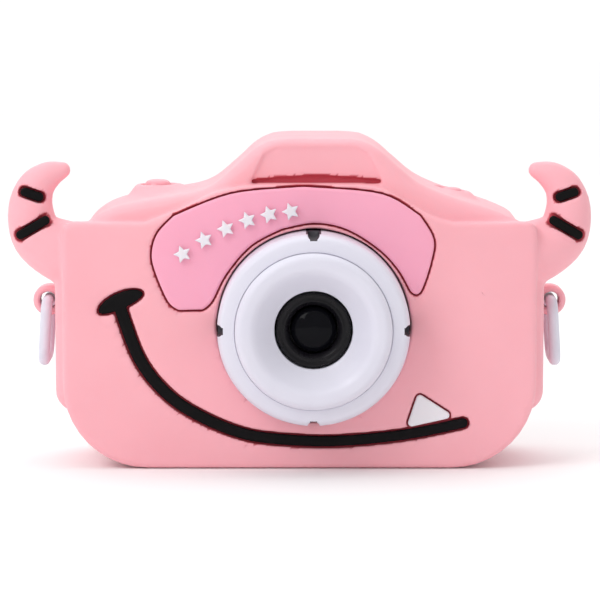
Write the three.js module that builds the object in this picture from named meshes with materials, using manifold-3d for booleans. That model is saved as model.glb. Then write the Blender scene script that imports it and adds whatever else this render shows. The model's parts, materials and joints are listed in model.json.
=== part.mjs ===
// Children's digital camera in a moulded silicone cover with a friendly monster face.
// Millimetres. +X is to the right of somebody facing the lens, the lens looks along -Y, +Z is up.
// The origin is the middle of the flat base that the camera stands on.
import * as THREE from 'three';
import { mergeVertices } from 'three/addons/utils/BufferGeometryUtils.js';
import Module from 'manifold-3d';

const wasm = await Module();
wasm.setup();

// ---------------------------------------------------------------- driving dimensions

const GAP = 0.3; // assembly gap between neighbouring pieces

const plate = {
  front: -15, back: -11, halfWidth: 44, top: 46, bottomRadius: 15.7, topRadius: 2, edge: 0.9,
};
const bodyCover = { front: -13, back: 15, halfWidth: 41.5, frontEdge: 1.2, wall: 2.5 };
const cavity = { front: -11, back: 12.5 };
const hump = { middle: 3.1, top: 61.3, panelDepth: 0.7, slotDepth: 1.4 };
const flank = { outer: 45.7, bottom: 9.9, top: 40, front: -12, back: 10, radius: 4.1 };
const shell = { front: -10.7, seam: -5, back: 12.2, wall: 1.6 };
const backWindow = { halfWidth: 36.5, bottom: 5, top: 43.7, radius: 8 };

const lens = { x: 2.6, z: 26.8, barrelRadius: 17.7, boreRadius: 14.5, front: -24.4 };
const dish = { crest: -26.2, rim: 10.9, floor: -22.6, inner: 7.2, back: -18.4 };
const notch = { count: 4, radius: 1.1, length: 8 };
const backLens = { x: 3.1, z: 50.8, radius: 3, coverHole: 4.4 };

const horn = { y: -8, rings: 14, sides: 12 };
const stripe = { halfWidth: 0.85, thickness: 0.9, floor: 1.5 };
const inlay = { recess: 1.2 };
const smileWidth = { start: 1.15, end: 0.95 };
const SMILE_STEPS = 18;
const star = { count: 6, outer: 1.75, inner: 0.85, thickness: 0.6 };

const lug = { x: 47.5, z: 30.1, radius: 2.9, hole: 1.6, halfThickness: 2.4, neck: 1.8 };
const ring = { halfWidth: 7.2, drop: 12.2, bar: 2.2, bevel: 0.7, lean: 3.5 };

const shutter = {
  x: -26.8, y: 1, radius: 2.6, flange: 3.2, bottom: 42.2, top: 52.8, collarTop: 51.4, skirt: 5.8,
};
const power = {
  x: 28.6, y: 1, radius: 2.4, flange: 3.1, bottom: 43.2, top: 51.3, collarTop: 50.5, skirt: 4.8,
};
const keys = { x: -25, z: 27, pitch: 7.4, radius: 2.9, flange: 3.5, bottom: 8.9, top: 13.6 };
const running = 0.35; // radial clearance round a moving button
const speakerGrille = { holes: 6, circle: 2.2, radius: 0.6, z: 9.6 };

const screen = {
  x: 9, z: 25, width: 41, height: 31, glassMargin: 1, glass: 1, panelMargin: 1.3, panel: 2.2,
};
const board = { front: 3.6, back: 5, halfWidth: 35.5, bottom: 5.2, top: 39, radius: 8 };
const boss = { x: 34, low: 9, high: 37, radius: 2.8, bore: 1.9, pilot: 1.05, step: 5 };
const tact = { size: 4.4, height: 1.9 };
const card = { x: 20, y: 2.1, width: 11, length: 15, thickness: 0.8, bottom: 3.4 };
const usb = { x: 8.5, y: 2.1, width: 7.6, thickness: 2.7, wall: 0.35, bottom: 3.4, length: 5.6 };
const portCutout = { left: 3.2, right: 27.2, front: -1.6, back: 5.8, radius: 3 };

// ---------------------------------------------------------------- small geometry helpers

const CURVE_STEPS = 3;
const BEVEL_STEPS = 2;
const WELD = 1e-4;

function signedVolume(positions, triangles) {
  let total = 0;
  const [a, b, c] = [new THREE.Vector3(), new THREE.Vector3(), new THREE.Vector3()];
  for (let i = 0; i < triangles.length; i += 3) {
    a.fromArray(positions, triangles[i] * 3);
    b.fromArray(positions, triangles[i + 1] * 3);
    c.fromArray(positions, triangles[i + 2] * 3);
    total += a.dot(b.cross(c)) / 6;
  }
  return total;
}

// A closed geometry as a solid that can be joined and cut.
function solid(geometry) {
  const plain = geometry.clone();
  plain.deleteAttribute('normal');
  plain.deleteAttribute('uv');
  const merged = mergeVertices(plain, WELD);
  const positions = new Float32Array(merged.attributes.position.array);
  const triangles = [];
  for (let i = 0; i < merged.index.count; i += 3) {
    const corners = [0, 1, 2].map((k) => merged.index.getX(i + k));
    if (new Set(corners).size === 3) {
      triangles.push(...corners);
    }
  }
  if (signedVolume(positions, triangles) < 0) {
    triangles.reverse();
  }
  const triVerts = new Uint32Array(triangles);
  return new wasm.Manifold(new wasm.Mesh({ numProp: 3, vertProperties: positions, triVerts }));
}

function geometryOf(body) {
  const { vertProperties, triVerts } = body.getMesh();
  const geometry = new THREE.BufferGeometry();
  geometry.setAttribute('position', new THREE.BufferAttribute(vertProperties, 3));
  geometry.setIndex(new THREE.BufferAttribute(triVerts, 1));
  geometry.computeVertexNormals();
  return geometry;
}

function join(...solids) {
  return solids.reduce((sum, next) => sum.add(next));
}

function cut(body, ...tools) {
  return tools.reduce((left, tool) => left.subtract(tool), body);
}

// An outline drawn in X and Z, made solid between two depths, with its edges rounded by bevel.
function slab(shape, front, back, bevel = 0, steps = CURVE_STEPS) {
  const geometry = new THREE.ExtrudeGeometry(shape, {
    depth: back - front - 2 * bevel,
    curveSegments: steps,
    bevelEnabled: bevel > 0,
    bevelThickness: bevel,
    bevelSize: bevel,
    bevelOffset: -bevel,
    bevelSegments: BEVEL_STEPS,
  });
  geometry.rotateX(Math.PI / 2);
  geometry.translate(0, back - bevel, 0);
  return solid(geometry);
}

// An outline drawn in X and Y, made solid between two heights.
function column(shape, bottom, top, steps = CURVE_STEPS) {
  const geometry = new THREE.ExtrudeGeometry(shape, {
    depth: top - bottom,
    curveSegments: steps,
    bevelEnabled: false,
  });
  geometry.translate(0, 0, bottom);
  return solid(geometry);
}

function box(x0, x1, y0, y1, z0, z1) {
  const geometry = new THREE.BoxGeometry(x1 - x0, y1 - y0, z1 - z0);
  geometry.translate((x0 + x1) / 2, (y0 + y1) / 2, (z0 + z1) / 2);
  return solid(geometry);
}

// A turned piece about an axis along Y through (x, z); the profile is [radius, y] pairs.
function turned(profile, x, z, sides = 24) {
  const points = profile.map(([radius, y]) => new THREE.Vector2(radius, y));
  const geometry = new THREE.LatheGeometry(points, sides);
  geometry.translate(x, 0, z);
  return solid(geometry);
}

// A turned piece about an upright axis through (x, y); the profile is [radius, z] pairs.
function turnedUpright(profile, x, y, sides = 24) {
  const points = profile.map(([radius, z]) => new THREE.Vector2(radius, z));
  const geometry = new THREE.LatheGeometry(points, sides);
  geometry.rotateX(Math.PI / 2);
  geometry.translate(x, y, 0);
  return solid(geometry);
}

function rod(radius, x, z, front, back, sides = 20) {
  return turned([[0, front], [radius, front], [radius, back], [0, back]], x, z, sides);
}

function roundedBox(x0, x1, y0, y1, radius) {
  const shape = new THREE.Shape();
  const quarter = Math.PI / 2;
  shape.absarc(x1 - radius, y0 + radius, radius, -quarter, 0);
  shape.absarc(x1 - radius, y1 - radius, radius, 0, quarter);
  shape.absarc(x0 + radius, y1 - radius, radius, quarter, 2 * quarter);
  shape.absarc(x0 + radius, y0 + radius, radius, 2 * quarter, 3 * quarter);
  shape.closePath();
  return shape;
}

function vectors(pairs) {
  return pairs.map(([x, y]) => new THREE.Vector2(x, y));
}

// Moves every point of a closed outline inward by a distance (outward if it is negative).
function insetShape(shape, distance, steps = CURVE_STEPS) {
  const points = shape.getPoints(steps).filter((p, i, all) => i === 0 || p.distanceTo(all[i - 1]) > 0.05);
  if (points[0].distanceTo(points.at(-1)) < 0.05) {
    points.pop();
  }
  const turn = THREE.ShapeUtils.isClockWise(points) ? -1 : 1;
  const moved = points.map((point, i) => {
    const before = points.at(i - 1);
    const after = points[(i + 1) % points.length];
    const inDirection = point.clone().sub(before).normalize();
    const outDirection = after.clone().sub(point).normalize();
    const along = inDirection.add(outDirection).normalize();
    const spread = Math.max(0.5, Math.abs(along.dot(outDirection)));
    const inward = new THREE.Vector2(-along.y, along.x).multiplyScalar(turn * distance / spread);
    return point.clone().add(inward);
  });
  return new THREE.Shape(moved);
}

// A band of changing width along a curve, with a round end.
function bandShape(curve, startWidth, endWidth, steps) {
  const left = [];
  const right = [];
  for (let i = 0; i <= steps; i += 1) {
    const t = i / steps;
    const point = curve.getPoint(t);
    const along = curve.getTangent(t);
    const half = THREE.MathUtils.lerp(startWidth, endWidth, t);
    const side = new THREE.Vector2(-along.y, along.x).multiplyScalar(half);
    left.push(point.clone().add(side));
    right.push(point.clone().sub(side));
  }
  const end = curve.getPoint(1);
  const heading = curve.getTangent(1).angle();
  const cap = [0.25, 0.5, 0.75].map((t) => {
    const angle = heading - Math.PI / 2 + Math.PI * t;
    return new THREE.Vector2(Math.cos(angle), Math.sin(angle)).multiplyScalar(endWidth).add(end);
  });
  return new THREE.Shape([...right, ...cap, ...left.reverse()]);
}

function capsuleShape(from, to, radius, steps = 4) {
  const heading = Math.atan2(to[1] - from[1], to[0] - from[0]);
  const points = [];
  for (const [centre, start] of [[to, heading - Math.PI / 2], [from, heading + Math.PI / 2]]) {
    for (let i = 0; i <= steps; i += 1) {
      const angle = start + Math.PI * i / steps;
      points.push([centre[0] + radius * Math.cos(angle), centre[1] + radius * Math.sin(angle)]);
    }
  }
  return new THREE.Shape(vectors(points));
}

// A round horn whose centreline lies in a plane of constant Y and whose radius changes along it.
function taperedHorn(stations, y) {
  const path = new THREE.CatmullRomCurve3(stations.map(([x, z]) => new THREE.Vector3(x, 0, z)));
  const radii = new THREE.SplineCurve(stations.map(([, , r], i) => new THREE.Vector2(i, r)));
  const positions = [];
  const triangles = [];
  for (let i = 0; i <= horn.rings; i += 1) {
    const t = i / horn.rings;
    const centre = path.getPoint(t);
    const along = path.getTangent(t);
    const radius = radii.getPoint(t).y;
    const across = new THREE.Vector3(-along.z, 0, along.x);
    for (let k = 0; k < horn.sides; k += 1) {
      const angle = 2 * Math.PI * k / horn.sides;
      const outward = across.clone().multiplyScalar(Math.cos(angle) * radius);
      positions.push(centre.x + outward.x, y + Math.sin(angle) * radius, centre.z + outward.z);
    }
  }
  for (let i = 0; i < horn.rings; i += 1) {
    for (let k = 0; k < horn.sides; k += 1) {
      const next = (k + 1) % horn.sides;
      const [a, b] = [i * horn.sides + k, i * horn.sides + next];
      const [c, d] = [a + horn.sides, b + horn.sides];
      triangles.push(a, c, b, b, c, d);
    }
  }
  const tipFirst = horn.rings * horn.sides;
  for (let k = 1; k < horn.sides - 1; k += 1) {
    triangles.push(0, k, k + 1);
    triangles.push(tipFirst, tipFirst + k + 1, tipFirst + k);
  }
  const geometry = new THREE.BufferGeometry();
  geometry.setAttribute('position', new THREE.Float32BufferAttribute(positions, 3));
  geometry.setIndex(triangles);
  return solid(geometry);
}

function mirrored(pairs) {
  return pairs.map(([x, ...rest]) => [-x, ...rest]);
}

// ---------------------------------------------------------------- outlines of the cover

// Flat face plate: round lower corners, and a crest that rises in front of the hump.
function plateOutline() {
  const { halfWidth, top, bottomRadius, topRadius } = plate;
  const quarter = Math.PI / 2;
  const shape = new THREE.Shape();
  shape.moveTo(-halfWidth + bottomRadius, 0);
  shape.lineTo(halfWidth - bottomRadius, 0);
  shape.absarc(halfWidth - bottomRadius, bottomRadius, bottomRadius, -quarter, 0);
  shape.absarc(halfWidth - topRadius, top - topRadius, topRadius, 0, quarter);
  shape.lineTo(28.5, top);
  shape.splineThru(vectors([[24.4, 47.3], [17.7, 51.1], [14.2, 52.7], [8.4, 53.7], [-5, 53.7]]));
  shape.splineThru(vectors([[-8.8, 53], [-15.6, 51.6], [-21.3, 48.8], [-28.5, top]]));
  shape.absarc(-halfWidth + topRadius, top - topRadius, topRadius, quarter, 2 * quarter);
  shape.absarc(-halfWidth + bottomRadius, bottomRadius, bottomRadius, 2 * quarter, 3 * quarter);
  return shape;
}

// Body behind the plate: narrower, with sloping shoulders that run up into the hump.
function bodyOutline() {
  const { halfWidth } = bodyCover;
  const { middle, top } = hump;
  const radius = plate.bottomRadius - plate.halfWidth + halfWidth;
  const quarter = Math.PI / 2;
  const rightSlope = [[halfWidth - 0.9, 45.7], [36, 48], [28.5, 50.4], [22.3, 53], [18.3, 56.2]];
  const rightHump = [[middle + 11.6, 59.3], [middle + 8.4, top - 0.4], [middle + 5, top]];
  const leftHump = [[middle - 8.4, top - 0.4], [middle - 11.6, 59.3], [2 * middle - 18.3, 56]];
  const leftSlope = [[-17.5, 52], [-26, 50.3], [-34, 48.7], [-38.6, 46.3], [-halfWidth, 42.5]];
  const shape = new THREE.Shape();
  shape.moveTo(-plate.halfWidth + plate.bottomRadius, 0);
  shape.lineTo(plate.halfWidth - plate.bottomRadius, 0);
  shape.absarc(halfWidth - radius, radius, radius, -quarter, 0);
  shape.lineTo(halfWidth, 43);
  shape.splineThru(vectors([...rightSlope, ...rightHump]));
  shape.lineTo(middle - 5, top);
  shape.splineThru(vectors([...leftHump, ...leftSlope]));
  shape.absarc(-halfWidth + radius, radius, radius, 2 * quarter, 3 * quarter);
  return shape;
}

// Straight-sided version of the body outline, which the hollow and the hard shells are inset from.
function coreOutline() {
  const { halfWidth } = bodyCover;
  const { middle, top } = hump;
  const radius = plate.bottomRadius - plate.halfWidth + halfWidth;
  const quarter = Math.PI / 2;
  const shape = new THREE.Shape();
  shape.absarc(halfWidth - radius, radius, radius, -quarter, 0);
  const corners = [
    [halfWidth, 43.6], [37, 47.6], [22.4, 52.5], [middle + 11.8, 58.9], [middle + 8.2, top],
    [middle - 8.2, top], [middle - 11.8, 58.9], [-16.6, 52.1], [-35.5, 47.9], [-halfWidth, 43.4],
  ];
  corners.forEach(([x, z]) => shape.lineTo(x, z));
  shape.absarc(-halfWidth + radius, radius, radius, 2 * quarter, 3 * quarter);
  return shape;
}

function humpPanelOutline() {
  const half = 8.6;
  const spread = 3.4;
  const { middle } = hump;
  return new THREE.Shape(vectors([
    [middle - half - spread, 53.9], [middle + half + spread, 53.9], [middle + half + 0.9, 58.4],
    [middle + half - 1.2, 59.6], [middle - half + 1.2, 59.6], [middle - half - 0.9, 58.4],
  ]));
}

// Narrow slot along the foot of the hump's panel, where the crest of the plate stands in front of it.
function humpSlotOutline() {
  const half = 12;
  const { middle } = hump;
  const shape = new THREE.Shape();
  shape.moveTo(middle - half, 53);
  shape.lineTo(middle + half, 53);
  shape.splineThru(vectors([[middle + half, 53.7], [middle, 54.5], [middle - half, 53.7]]));
  return shape;
}

// Heavy eyelid over the lens: its lower edge is an arc about the lens.
function eyelidOutline() {
  const shape = new THREE.Shape();
  shape.moveTo(-22.4, 29.7);
  shape.splineThru(vectors([[-24.4, 31.4], [-26.8, 37.1], [-27.3, 40.5], [-26.2, 44], [-23.2, 47.2]]));
  shape.splineThru(vectors([[-12.9, 51.2], [-1.8, 52.4], [3.4, 52.4], [15.3, 51.2], [22.3, 47.2]]));
  shape.splineThru(vectors([[24.8, 42.9], [24.3, 38.5], [22.7, 33.6], [21.6, 32.6], [20.6, 33.2]]));
  shape.splineThru(vectors([[18.2, 37.4], [14.4, 41.3], [8.6, 44.8], [2.7, 45.9], [-3.3, 44.8]]));
  shape.splineThru(vectors([[-9, 41.7], [-13.6, 36.4], [-16.2, 31.4], [-17.9, 29.8]]));
  shape.closePath();
  return shape;
}

const smileCurve = new THREE.SplineCurve(vectors([
  [-33.5, 30.9], [-30.5, 22.2], [-27.4, 17], [-23, 12.6], [-17.3, 9.2], [-10.8, 6.6],
  [-4.3, 5.5], [6.6, 5.1], [19.5, 6.3], [30.4, 8.5],
]));

// Dimple at the end of the smile: a leaf, arched on its upper side.
function dimpleOutline(grow) {
  const centre = { x: -33.1, z: 31 };
  const long = 4.5 + grow;
  const high = 1.9 + grow;
  const low = 1.1 + grow;
  const tilt = THREE.MathUtils.degToRad(24);
  const steps = 8;
  const points = [];
  for (let i = 0; i < 2 * steps; i += 1) {
    const angle = Math.PI * i / steps;
    const x = long * Math.cos(angle);
    const z = (i < steps ? high : low) * Math.sin(angle);
    points.push([
      centre.x + x * Math.cos(tilt) - z * Math.sin(tilt),
      centre.z + x * Math.sin(tilt) + z * Math.cos(tilt),
    ]);
  }
  return new THREE.Shape(vectors(points));
}

// Small tooth that pokes up from the smile: a triangle with round corners.
function toothOutline(grow) {
  const corners = [[20.9, 8.6], [27.2, 10], [22.4, 13.1]];
  const radius = 0.7 + grow;
  const steps = 3;
  const points = [];
  corners.forEach((corner, i) => {
    const before = corners.at(i - 1);
    const after = corners[(i + 1) % corners.length];
    const start = Math.atan2(corner[1] - before[1], corner[0] - before[0]) - Math.PI / 2;
    let end = Math.atan2(after[1] - corner[1], after[0] - corner[0]) - Math.PI / 2;
    if (end < start) {
      end += 2 * Math.PI;
    }
    for (let k = 0; k <= steps; k += 1) {
      const angle = THREE.MathUtils.lerp(start, end, k / steps);
      points.push([corner[0] + radius * Math.cos(angle), corner[1] + radius * Math.sin(angle)]);
    }
  });
  return new THREE.Shape(vectors(points));
}

const leftHorn = [
  [-39.8, 39.2, 6.1], [-44, 39.9, 5.9], [-48.8, 42.7, 4.9], [-50.2, 47.5, 4.25], [-49.4, 51.6, 3.5],
  [-47, 54.1, 2.6], [-44.2, 55.2, 1.5],
];
const stripePaths = {
  upper: [[-51, 51.3], [-48.4, 50.4]],
  lower: [[-51.8, 43.4], [-47.2, 46.1]],
};
const stripeFront = { upper: -11.2, lower: -12.1 };

// ---------------------------------------------------------------- silicone cover

function hornStripeSolid(path, front, grow, depth) {
  return slab(capsuleShape(path[0], path[1], stripe.halfWidth + grow), front, front + depth);
}

function lugSolid(side) {
  const loop = rod(lug.radius, side * lug.x, lug.z, -lug.halfThickness, lug.halfThickness, 20);
  const inner = side * (bodyCover.halfWidth - 1);
  const outer = side * lug.x;
  const neck = box(
    Math.min(inner, outer), Math.max(inner, outer), -lug.halfThickness, lug.halfThickness,
    lug.z - lug.neck, lug.z + lug.neck,
  );
  const hole = rod(lug.hole, side * lug.x, lug.z, -lug.halfThickness - 1, lug.halfThickness + 1, 16);
  return cut(join(loop, neck), hole);
}

// Side bulge of the cover, that shows past the plate's edge below each horn.
function flankSolid(side) {
  const { outer, bottom, top, front, back, radius } = flank;
  const inner = bodyCover.halfWidth - 6;
  const [x0, x1] = side > 0 ? [inner, outer] : [-outer, -inner];
  return slab(roundedBox(x0, x1, bottom, top, radius), front, back, 1, 3);
}

function buttonCollar(button) {
  const { x, y, skirt, collarTop, radius } = button;
  return turnedUpright([
    [0, collarTop - 6], [skirt, collarTop - 6], [skirt, collarTop - 3.4], [skirt - 0.9, collarTop - 1.5],
    [radius + 1.4, collarTop - 0.2], [radius + 0.9, collarTop], [0, collarTop],
  ], x, y, 20);
}

// Round hole for a top button, from inside the hollow to above the cover.
function uprightHole(button, radius) {
  const [bottom, top] = [40, 56];
  return turnedUpright([[0, bottom], [radius, bottom], [radius, top], [0, top]], button.x, button.y, 20);
}

function siliconeCover() {
  const wall = bodyCover.wall;
  const outside = join(
    slab(plateOutline(), plate.front, plate.back, plate.edge),
    slab(bodyOutline(), bodyCover.front, bodyCover.back, bodyCover.frontEdge),
    buttonCollar(shutter),
    buttonCollar(power),
    flankSolid(-1),
    flankSolid(1),
    taperedHorn(leftHorn, horn.y),
    taperedHorn(mirrored(leftHorn), horn.y),
    lugSolid(-1),
    lugSolid(1),
  );
  const recessFloor = plate.front + inlay.recess;
  const outFront = plate.front - 1;
  const lineStart = smileWidth.start + GAP;
  const lineEnd = smileWidth.end + GAP;
  const { halfWidth, bottom, top, radius } = backWindow;
  const { left, right, front: portFront, back: portBack, radius: portRadius } = portCutout;
  const stripes = [];
  for (const [key, path] of Object.entries(stripePaths)) {
    const front = stripeFront[key];
    for (const side of [path, mirrored(path)]) {
      stripes.push(hornStripeSolid(side, front - 3, GAP, 3 + stripe.floor));
    }
  }
  return cut(
    outside,
    slab(insetShape(coreOutline(), wall), cavity.front, cavity.back),
    slab(humpPanelOutline(), bodyCover.front - 3, bodyCover.front + hump.panelDepth),
    slab(humpSlotOutline(), bodyCover.front - 3, bodyCover.front + hump.slotDepth),
    rod(lens.barrelRadius + GAP, lens.x, lens.z, outFront, cavity.front + 1, 48),
    slab(insetShape(eyelidOutline(), -GAP, 2), outFront, recessFloor),
    slab(bandShape(smileCurve, lineStart, lineEnd, SMILE_STEPS), outFront, recessFloor),
    slab(dimpleOutline(GAP), outFront, recessFloor),
    slab(toothOutline(GAP), outFront, recessFloor),
    ...stripes,
    slab(
      roundedBox(-halfWidth, halfWidth, bottom, top, radius),
      cavity.back - 1, bodyCover.back + 1, 0, 3,
    ),
    rod(backLens.coverHole, backLens.x, backLens.z, cavity.back - 1, bodyCover.back + 1, 20),
    uprightHole(shutter, shutter.radius + 0.5),
    uprightHole(power, power.radius + 0.5),
    column(roundedBox(left, right, portFront, portBack, portRadius), -1, wall + 0.5, 2),
  );
}

// ---------------------------------------------------------------- face inlays and motif

function eyelidPanel() {
  return slab(eyelidOutline(), plate.front - 0.1, plate.front + inlay.recess - GAP, 0, 2);
}

function smileInlay() {
  const front = plate.front + 0.25;
  const back = plate.front + inlay.recess - GAP;
  const line = slab(bandShape(smileCurve, smileWidth.start, smileWidth.end, SMILE_STEPS), front, back);
  return join(line, slab(dimpleOutline(0), front, back));
}

function toothInlay() {
  return slab(toothOutline(0), plate.front - 0.1, plate.front + inlay.recess - GAP);
}

// Row of small raised stars that climbs along the eyelid.
function starSolid(index) {
  const t = index / (star.count - 1);
  const x = THREE.MathUtils.lerp(-21.6, -1.6, t);
  const z = THREE.MathUtils.lerp(41.2, 49.1, t) - 1.6 * (2 * t - 1) ** 2 + 0.6;
  const points = [];
  for (let k = 0; k < 10; k += 1) {
    const angle = Math.PI / 2 + 0.35 + Math.PI * k / 5;
    const radius = k % 2 ? star.inner : star.outer;
    points.push([x + radius * Math.cos(angle), z + radius * Math.sin(angle)]);
  }
  const back = plate.front - 0.1 - GAP;
  return slab(new THREE.Shape(vectors(points)), back - star.thickness, back);
}

// ---------------------------------------------------------------- hard camera body

function shellOutline(extra) {
  return insetShape(coreOutline(), bodyCover.wall + GAP + extra);
}

function bossPositions() {
  return [-1, 1].flatMap((side) => [boss.low, boss.high].map((z) => [side * boss.x, z]));
}

function frontShell() {
  const { front, seam, wall } = shell;
  const back = seam - GAP / 2;
  const cup = cut(
    slab(shellOutline(0), front, back),
    slab(shellOutline(wall), front + wall, back + 1),
  );
  const posts = bossPositions().map(([x, z]) => rod(boss.radius, x, z, front + wall - 0.5, back, 14));
  const pilots = bossPositions().map(([x, z]) => rod(boss.pilot, x, z, front + wall, back + 1, 10));
  return cut(
    join(cup, ...posts),
    ...pilots,
    rod(lens.boreRadius + GAP, lens.x, lens.z, front - 1, front + wall + 1, 48),
  );
}

function keyPositions() {
  const { x, z, pitch } = keys;
  return {
    key_up: [x, z + pitch],
    key_down: [x, z - pitch],
    key_left: [x + pitch, z],
    key_right: [x - pitch, z],
    key_ok: [x, z],
  };
}

function rearShell() {
  const { seam, back, wall } = shell;
  const front = seam + GAP / 2;
  const cup = cut(
    slab(shellOutline(0), front, back),
    slab(shellOutline(wall), front - 1, back - wall),
  );
  const posts = bossPositions().map(([x, z]) => rod(boss.radius, x, z, front + 0.2, back - wall + 0.5, 14));
  const bores = bossPositions().flatMap(([x, z]) => [
    rod(boss.bore, x, z, boss.step, back + 1, 12),
    rod(boss.pilot, x, z, front - 1, boss.step + 1, 10),
  ]);
  const keyHoles = Object.values(keyPositions()).map(
    ([x, z]) => rod(keys.radius + running, x, z, back - wall - 1, back + 1, 20),
  );
  const grille = [];
  for (let k = 0; k < speakerGrille.holes; k += 1) {
    const angle = 2 * Math.PI * k / speakerGrille.holes;
    const x = keys.x + speakerGrille.circle * Math.cos(angle);
    const z = speakerGrille.z + speakerGrille.circle * Math.sin(angle);
    grille.push(rod(speakerGrille.radius, x, z, back - wall - 1, back + 1, 8));
  }
  const { x, z, width, height, glassMargin, glass } = screen;
  const [halfWidth, halfHeight] = [width / 2, height / 2];
  const margin = glassMargin + GAP;
  const opening = roundedBox(x - halfWidth, x + halfWidth, z - halfHeight, z + halfHeight, 1);
  const glassSeat = roundedBox(
    x - halfWidth - margin, x + halfWidth + margin, z - halfHeight - margin, z + halfHeight + margin, 1.5,
  );
  return cut(
    join(cup, ...posts),
    ...bores,
    ...keyHoles,
    ...grille,
    slab(opening, back - wall - 1, back + 1, 0, 2),
    slab(glassSeat, back - glass - 0.2, back + 1, 0, 2),
    rod(backLens.radius + GAP, backLens.x, backLens.z, back - 1, back + 1, 20),
    rod(backLens.radius - 0.8, backLens.x, backLens.z, back - wall - 1, back + 1, 16),
    uprightHole(shutter, shutter.radius + running),
    uprightHole(power, power.radius + running),
    box(card.x - 6, card.x + 6, card.y - 0.8, card.y + 0.8, 2, 6),
    box(usb.x - usb.width / 2 - GAP, usb.x + usb.width / 2 + GAP, usb.y - 1.7, usb.y + 1.7, 2, 6),
  );
}

function caseScrew([x, z]) {
  const headBack = boss.step + 1.6;
  return turned([
    [0, -8.4], [0.85, -8.4], [0.85, boss.step + GAP], [1.65, boss.step + GAP], [1.65, headBack - 0.3],
    [1.3, headBack], [0, headBack - 0.1],
  ], x, z, 10);
}

// ---------------------------------------------------------------- lens group, front to back

function lensBarrel() {
  const { x, z, barrelRadius: outer, boreRadius: bore, front } = lens;
  const shoulder = shell.front - 0.6;
  const tube = turned([
    [bore, front], [outer - 0.8, front + 0.5], [outer - 0.2, front + 1], [outer, front + 1.8],
    [outer, shoulder], [bore - 0.1, shoulder], [bore - 0.1, -8], [bore - 2, -8], [bore - 2, -13.5],
    [bore, -13.5], [bore, front],
  ], x, z, 48);
  const cuts = [];
  for (let k = 0; k < notch.count; k += 1) {
    const angle = Math.PI / 2 * k;
    const centre = [x + outer * Math.cos(angle), z + outer * Math.sin(angle)];
    cuts.push(rod(notch.radius, ...centre, front - 1, front + notch.length, 12));
  }
  return cut(tube, ...cuts);
}

// Raised ring in the barrel's mouth, dished towards the lens.
function lensDish() {
  const { x, z, boreRadius: bore } = lens;
  const { crest, rim, floor, inner, back } = dish;
  const outer = bore - GAP;
  return turned([
    [outer, back], [outer, crest + 0.9], [outer - 0.3, crest + 0.3], [outer - 0.9, crest],
    [rim + 0.8, crest + 0.1], [rim - 0.2, crest + 0.6], [inner + 0.5, floor], [inner, floor + 0.4],
    [inner, back], [outer, back],
  ], x, z, 40);
}

function lensHood() {
  const outer = dish.inner - GAP;
  return turned([
    [outer, -18.6], [outer, -21.8], [outer - 0.4, -22.1], [5.2, -21.9], [4.5, -21], [4.5, -18.6],
    [outer, -18.6],
  ], lens.x, lens.z, 32);
}

function lensGlass() {
  return turned([
    [0, -19.4], [4.2, -19.4], [4.2, -20.5], [3.4, -21.3], [2, -21.8], [0, -22],
  ], lens.x, lens.z, 28);
}

function lensCell() {
  return turned([
    [4.4, -18.1], [6, -18.1], [6, -9], [7.4, -9], [7.4, -7.9], [4.8, -7.9], [4.8, -17], [4.4, -17],
    [4.4, -18.1],
  ], lens.x, lens.z, 20);
}

function rearLensElement() {
  return turned([[0, -15.4], [3, -15.2], [4.4, -14.7], [4.4, -13.8], [0, -13.2]], lens.x, lens.z, 20);
}

function boxAbout(x, z, halfWidth, halfHeight, front, back) {
  return box(x - halfWidth, x + halfWidth, front, back, z - halfHeight, z + halfHeight);
}

// ---------------------------------------------------------------- buttons, screen and electronics

function topButton(button) {
  const { x, y, radius, flange, bottom, top } = button;
  return turnedUpright([
    [0, bottom], [flange, bottom], [flange, bottom + 1], [radius, bottom + 1], [radius, top - 0.9],
    [radius - 0.6, top - 0.3], [radius * 0.5, top - 0.05], [0, top],
  ], x, y, 24);
}

function topSwitch(button) {
  const { x, y, bottom } = button;
  const top = bottom - 1.9;
  const half = tact.size / 2;
  const plungerTop = bottom - 1;
  return join(
    box(x - half, x + half, y - half, y + half, top - 4, top),
    turnedUpright([[0, top - 1], [1.1, top - 1], [1.1, plungerTop], [0, plungerTop]], x, y, 10),
  );
}

function rearKey([x, z]) {
  const { radius, flange, bottom, top } = keys;
  return turned([
    [0, bottom], [flange, bottom], [flange, bottom + 1], [radius, bottom + 1], [radius, top - 0.5],
    [radius - 0.5, top], [0, top],
  ], x, z, 20);
}

function rearSwitch([x, z]) {
  const front = board.back + GAP;
  const back = front + tact.height;
  return join(
    boxAbout(x, z, tact.size / 2, tact.size / 2, front, back),
    rod(1, x, z, back - 0.5, back + 0.7, 10),
  );
}

function screenGlass() {
  const { x, z, width, height, glassMargin, glass } = screen;
  const halfWidth = width / 2 + glassMargin;
  const halfHeight = height / 2 + glassMargin;
  const outline = roundedBox(x - halfWidth, x + halfWidth, z - halfHeight, z + halfHeight, 1.2);
  return slab(outline, shell.back - glass + 0.1, shell.back + 0.1, 0, 3);
}

function lcdPanel() {
  const { x, z, width, height, panelMargin, panel } = screen;
  const back = shell.back - shell.wall - GAP;
  return boxAbout(x, z, width / 2 + panelMargin, height / 2 + panelMargin, back - panel, back);
}

function backLensGlass() {
  return rod(backLens.radius, backLens.x, backLens.z, shell.back - 0.7, shell.back, 20);
}

function mainBoard() {
  const { front, back, halfWidth, bottom, top, radius } = board;
  const sheet = slab(roundedBox(-halfWidth, halfWidth, bottom, top, radius), front, back, 0, 2);
  const holes = bossPositions().map(([x, z]) => rod(boss.radius + GAP, x, z, front - 1, back + 1, 14));
  return cut(sheet, ...holes);
}

function battery() {
  return slab(roundedBox(-30.4, -13.2, 8, 35, 1.5), -8.8, -4, 0.8, 1);
}

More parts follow.
